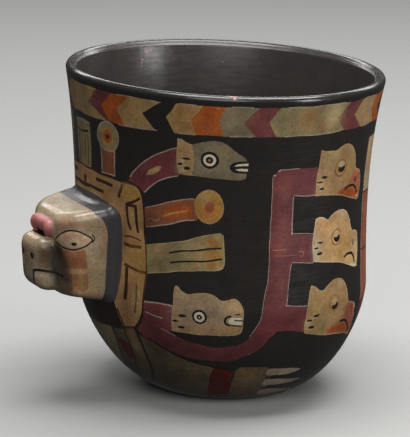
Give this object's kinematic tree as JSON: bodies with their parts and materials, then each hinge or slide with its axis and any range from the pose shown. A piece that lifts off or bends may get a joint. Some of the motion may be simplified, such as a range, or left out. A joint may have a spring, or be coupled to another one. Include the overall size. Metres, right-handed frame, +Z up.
{
  "type": "effigy vase",
  "caption": "Flared ceramic drinking cup on a small flat foot, with a condor's head modelled out of its wall and figures painted in coloured slips.",
  "frame": {"origin": "centre of the flat foot, on the surface that the cup stands on", "axes": "+Z up along the cup's axis, -Y out of the wall along the bird's beak, +X to the bird's left"},
  "size_m": [0.13, 0.1515, 0.1347],
  "materials": {
    "slip_painted_earthenware": "burnished coloured slips, satin to glossy"
  },
  "bodies": {
    "root": {"vase": "slip_painted_earthenware"}
  },
  "joints": []
}
